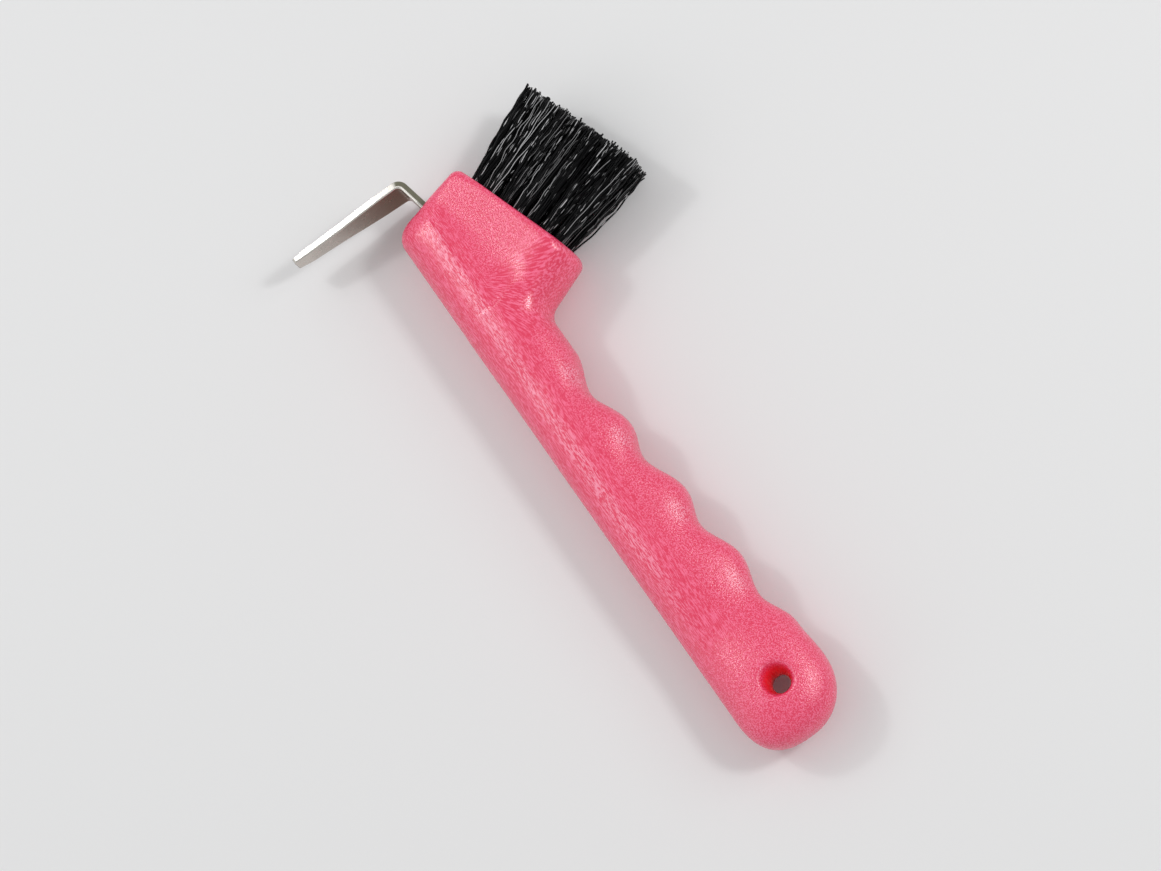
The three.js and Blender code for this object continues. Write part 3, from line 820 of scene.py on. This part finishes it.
def strand_path(rng, index, turn):
    """Distance out, and offsets aside and across, along one crimped filament."""
    share = math.sqrt((index + 0.5) / STRANDS)
    angle = index * GOLDEN_ANGLE + turn
    root = share * (TUFT_RADIUS - ROOT_INSET)
    tip = share * (TUFT_TIP_RADIUS + TIP_SPREAD) + rng.normal(0, TIP_DRIFT)
    swing = rng.normal(0, SWING)
    length = TUFT_FREE + rng.normal(0, LENGTH_DRIFT)
    crimp, bow = rng.uniform(*CRIMP_RANGE), rng.normal(0, BOW_DRIFT, 2)
    pitch = rng.uniform(*CRIMP_PITCH)
    phase = rng.uniform(0, 2 * math.pi, 2)
    out = np.linspace(-TUFT_SET * FOOT_SHARE, length, STRAND_STEPS + 1)
    free = np.maximum(out, 0) / TUFT_FREE
    radius = root + (tip - root) * free
    around = angle + swing * free
    sway = crimp * np.minimum(free * 4, 1)
    arch = np.sin(np.pi * np.minimum(free, 1))
    waved = 2 * math.pi * out / pitch
    aside = radius * np.cos(around) + sway * np.sin(waved + phase[0]) + bow[0] * arch
    across = radius * np.sin(around) + sway * np.cos(waved + phase[1]) + bow[1] * arch
    return out, aside, across


def strand_faces(base):
    """Faces of one filament whose vertices start at base: its sides and both ends."""
    faces = []
    for k in range(STRAND_STEPS):
        for s in range(STRAND_SIDES):
            a0 = base + k * STRAND_SIDES + s
            a1 = base + k * STRAND_SIDES + (s + 1) % STRAND_SIDES
            faces.append((a0, a0 + STRAND_SIDES, a1 + STRAND_SIDES, a1))
    faces.append(tuple(base + s for s in range(STRAND_SIDES)))
    last = base + STRAND_STEPS * STRAND_SIDES
    faces.append(tuple(last + s for s in range(STRAND_SIDES))[::-1])
    return faces


def make_tuft(number, foot, lean, side, cross, material):
    """One bundle of crimped filaments."""
    rng = np.random.default_rng(SEED + number)
    turn = rng.uniform(0, 2 * math.pi)
    around = 2 * math.pi * (np.arange(STRAND_SIDES) + 0.5) / STRAND_SIDES
    vertices, faces, strands, glints, dashes = [], [], [], [], []
    for i in range(STRANDS):
        out, aside, across = strand_path(rng, i, turn)
        thick = rng.uniform(*STRAND_RADIUS)
        kind = rng.random()
        bright = rng.uniform(*GLINT_RANGE) if kind < GLINT_SHARE else 0.0
        dashed = float(kind < DASH_SHARE)
        faces.extend(strand_faces(len(vertices)))
        for along, u, v in zip(out, aside, across):
            for s, b in enumerate(around):
                vertices.append(foot + lean * along + side * (u + thick * math.cos(b))
                                + cross * (v + thick * math.sin(b)))
                strands.append((along, s * 0.3 + i * 3.0, number * 7.0))
                glints.append(bright * (abs(math.sin(b)) > 0.99))
                dashes.append(dashed)
    piece = new_object(f"bristles_{number:02d}", place(vertices), faces)
    write_attribute(piece, "strand", strands)
    write_attribute(piece, "glint", glints)
    write_attribute(piece, "dashed", dashes)
    piece.data.materials.append(material)
    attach(piece, "root")
    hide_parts(f"tuft_{number:02d}")


def dress_anchors():
    """Give the CAD anchors their wire material."""
    material = anchor_wire()
    for name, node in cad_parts.items():
        if name.startswith("anchor_"):
            for slot in node.material_slots:
                slot.material = material


# ---------------------------------------------------------------- stage, lights, camera


def make_floor():
    """A square card at z = 0."""
    signs = ((-1, -1), (1, -1), (1, 1), (-1, 1))
    corners = [(a * FLOOR_HALF, b * FLOOR_HALF, 0) for a, b in signs]
    mesh = bpy.data.meshes.new("floor")
    mesh.from_pydata(corners, [], [(0, 1, 2, 3)])
    floor = bpy.data.objects.new("floor", mesh)
    bpy.context.scene.collection.objects.link(floor)
    floor.data.materials.append(floor_card())


def area_light(name, direction, size, power):
    """A square soft light that looks at the tool from a direction."""
    data = bpy.data.lights.new(name, "AREA")
    data.size = size
    data.energy = power
    light = bpy.data.objects.new(name, data)
    bpy.context.scene.collection.objects.link(light)
    way = Vector(direction).normalized()
    light.location = DATUM + way * LIGHT_DISTANCE
    light.rotation_mode = "QUATERNION"
    light.rotation_quaternion = way.to_track_quat("Z", "Y")


def make_lights():
    """An even sky and the soft boxes."""
    world = bpy.data.worlds.new("studio")
    bpy.context.scene.world = world
    world.use_nodes = True
    background = world.node_tree.nodes["Background"]
    background.inputs["Color"].default_value = (1, 1, 1, 1)
    background.inputs["Strength"].default_value = SKY
    for light in LIGHTS:
        area_light(*light)


def make_camera():
    """A camera 1 m from the datum, turned so that the handle runs down to the right."""
    data = bpy.data.cameras.new("camera")
    camera = bpy.data.objects.new("camera", data)
    bpy.context.scene.collection.objects.link(camera)
    back = Vector((*CAMERA_BACK, 0))
    back.z = math.sqrt(1 - back.length_squared)
    up0 = Vector((0, 1, 0)) - back * back.y
    up0.normalize()
    right0 = (-back).cross(up0)
    along = Vector((1, 0, 0))
    wanted = math.atan2(HANDLE_IN_VIEW[1], HANDLE_IN_VIEW[0])
    turned = wanted - math.atan2(-along.dot(up0), along.dot(right0))
    c, s = math.cos(turned), math.sin(turned)
    right = right0 * c + up0 * s
    up = up0 * c - right0 * s
    camera.matrix_world = Matrix((
        (right.x, up.x, back.x, DATUM.x + back.x),
        (right.y, up.y, back.y, DATUM.y + back.y),
        (right.z, up.z, back.z, DATUM.z + back.z),
        (0, 0, 0, 1)))
    data.sensor_width = SENSOR
    data.lens = LENS
    bpy.context.scene.camera = camera


bpy.context.scene.view_settings.view_transform = "Standard"
make_camera()
make_floor()
make_lights()
make_handle()
make_pick()
bristle = nylon()
for number, spot in enumerate(tuft_places(), 1):
    make_tuft(number, *spot, bristle)
dress_anchors()
